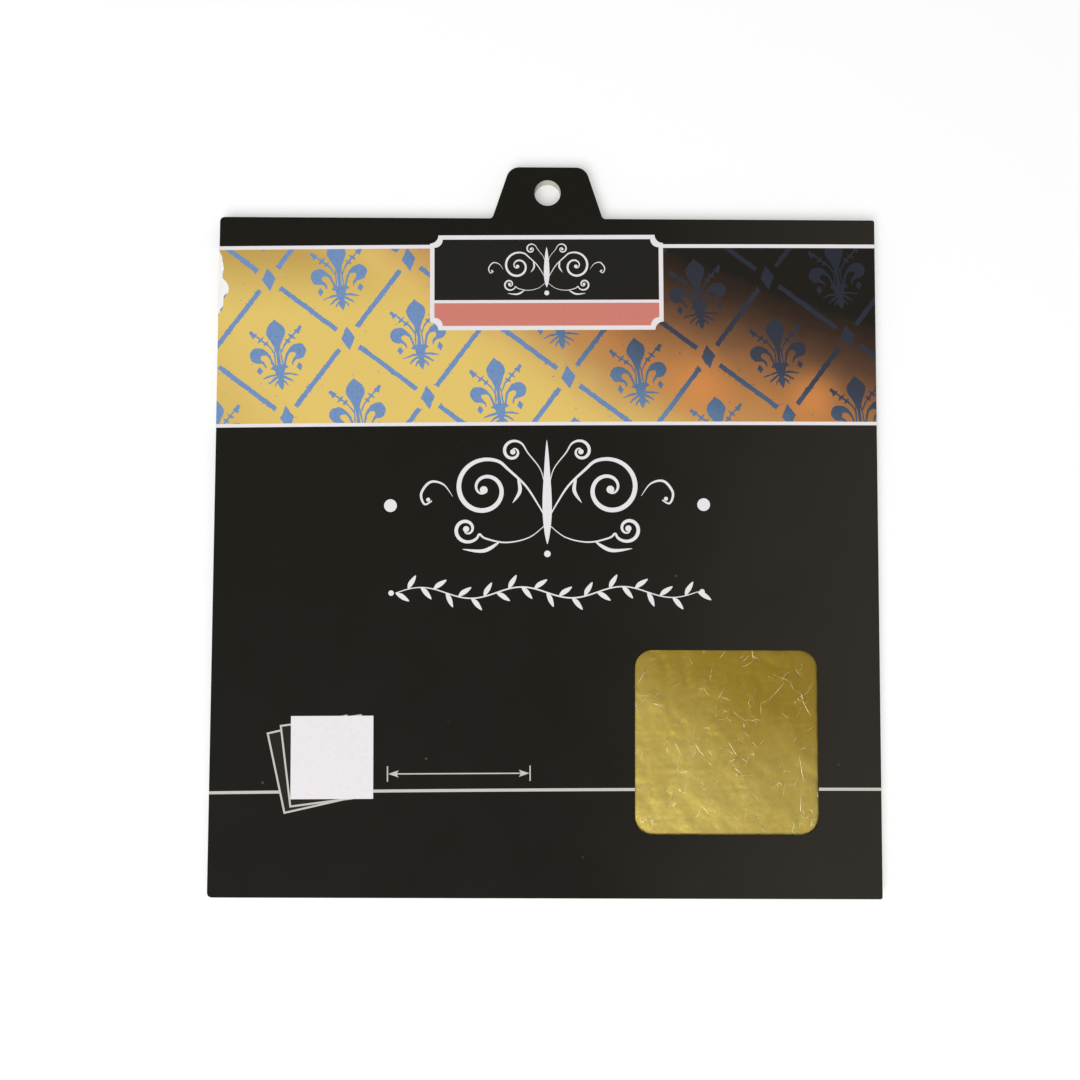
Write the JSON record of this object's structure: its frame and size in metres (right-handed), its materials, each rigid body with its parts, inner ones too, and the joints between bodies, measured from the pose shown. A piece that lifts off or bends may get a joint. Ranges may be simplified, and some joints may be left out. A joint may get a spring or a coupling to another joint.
{
  "type": "gold leaf booklet",
  "caption": "Flat stapled booklet of gold leaf on tissue pages, in a folded black card cover with a punched hang tab, a patterned gold and blue band and a film window on the first leaf.",
  "frame": {"origin": "on the table under the middle of the outline, hang tab included, with the booklet lying on its back cover", "axes": "+X from the spine fold to the fore edge, +Y up the front towards the hang tab, +Z out of the front cover"},
  "size_m": [0.15, 0.1656, 0.0033],
  "materials": {
    "black_card": "printed matt black card with a gold and blue band",
    "clear_film": "thin clear polypropylene film",
    "clear_adhesive": "thin clear adhesive",
    "spine_glue": "set clear bookbinding glue",
    "staple_wire": "bright galvanised wire",
    "tissue": "thin white tissue",
    "gold_leaf": "beaten metal leaf with fine crinkles"
  },
  "bodies": {
    "block_and_back": {"back_cover": "black_card", "spine_panel": "black_card", "spine_glue": "spine_glue", "upper_staple": "staple_wire", "lower_staple": "staple_wire", "tissue_margins": "tissue", "rear_tissues": "tissue", "rear_leaves": "gold_leaf"},
    "cover": {"front_cover": "black_card", "window_film": "clear_film", "film_adhesive": "clear_adhesive"},
    "page_1": {"tissue_1": "tissue", "leaf_1": "gold_leaf"},
    "page_2": {"tissue_2": "tissue", "leaf_2": "gold_leaf"},
    "page_3": {"tissue_3": "tissue", "leaf_3": "gold_leaf"},
    "page_4": {"tissue_4": "tissue", "leaf_4": "gold_leaf"},
    "page_5": {"tissue_5": "tissue", "leaf_5": "gold_leaf"},
    "page_6": {"tissue_6": "tissue", "leaf_6": "gold_leaf"}
  },
  "joints": [
    {"name": "cover_fold", "type": "hinge", "parent": "block_and_back", "child": "cover", "pos_m": [-0.075, 0, 0.00293], "axis": [0, -1, 0], "range_deg": [0, 180]},
    {"name": "page_1_turn", "type": "hinge", "parent": "block_and_back", "child": "page_1", "pos_m": [-0.06935, 0, 0.00238], "axis": [0, -1, 0], "range_deg": [0, 150]},
    {"name": "page_2_turn", "type": "hinge", "parent": "block_and_back", "child": "page_2", "pos_m": [-0.06905, 0, 0.00226], "axis": [0, -1, 0], "range_deg": [0, 125]},
    {"name": "page_3_turn", "type": "hinge", "parent": "block_and_back", "child": "page_3", "pos_m": [-0.06875, 0, 0.00214], "axis": [0, -1, 0], "range_deg": [0, 100]},
    {"name": "page_4_turn", "type": "hinge", "parent": "block_and_back", "child": "page_4", "pos_m": [-0.06845, 0, 0.00202], "axis": [0, -1, 0], "range_deg": [0, 75]},
    {"name": "page_5_turn", "type": "hinge", "parent": "block_and_back", "child": "page_5", "pos_m": [-0.06815, 0, 0.0019], "axis": [0, -1, 0], "range_deg": [0, 50]},
    {"name": "page_6_turn", "type": "hinge", "parent": "block_and_back", "child": "page_6", "pos_m": [-0.06785, 0, 0.00178], "axis": [0, -1, 0], "range_deg": [0, 25]}
  ],
  "couplings": [
    {"joint": "page_1_turn", "follows": "cover_fold", "ratio": 0.8333},
    {"joint": "page_2_turn", "follows": "cover_fold", "ratio": 0.6944},
    {"joint": "page_3_turn", "follows": "cover_fold", "ratio": 0.5555},
    {"joint": "page_4_turn", "follows": "cover_fold", "ratio": 0.4166},
    {"joint": "page_5_turn", "follows": "cover_fold", "ratio": 0.2777},
    {"joint": "page_6_turn", "follows": "cover_fold", "ratio": 0.1388}
  ]
}
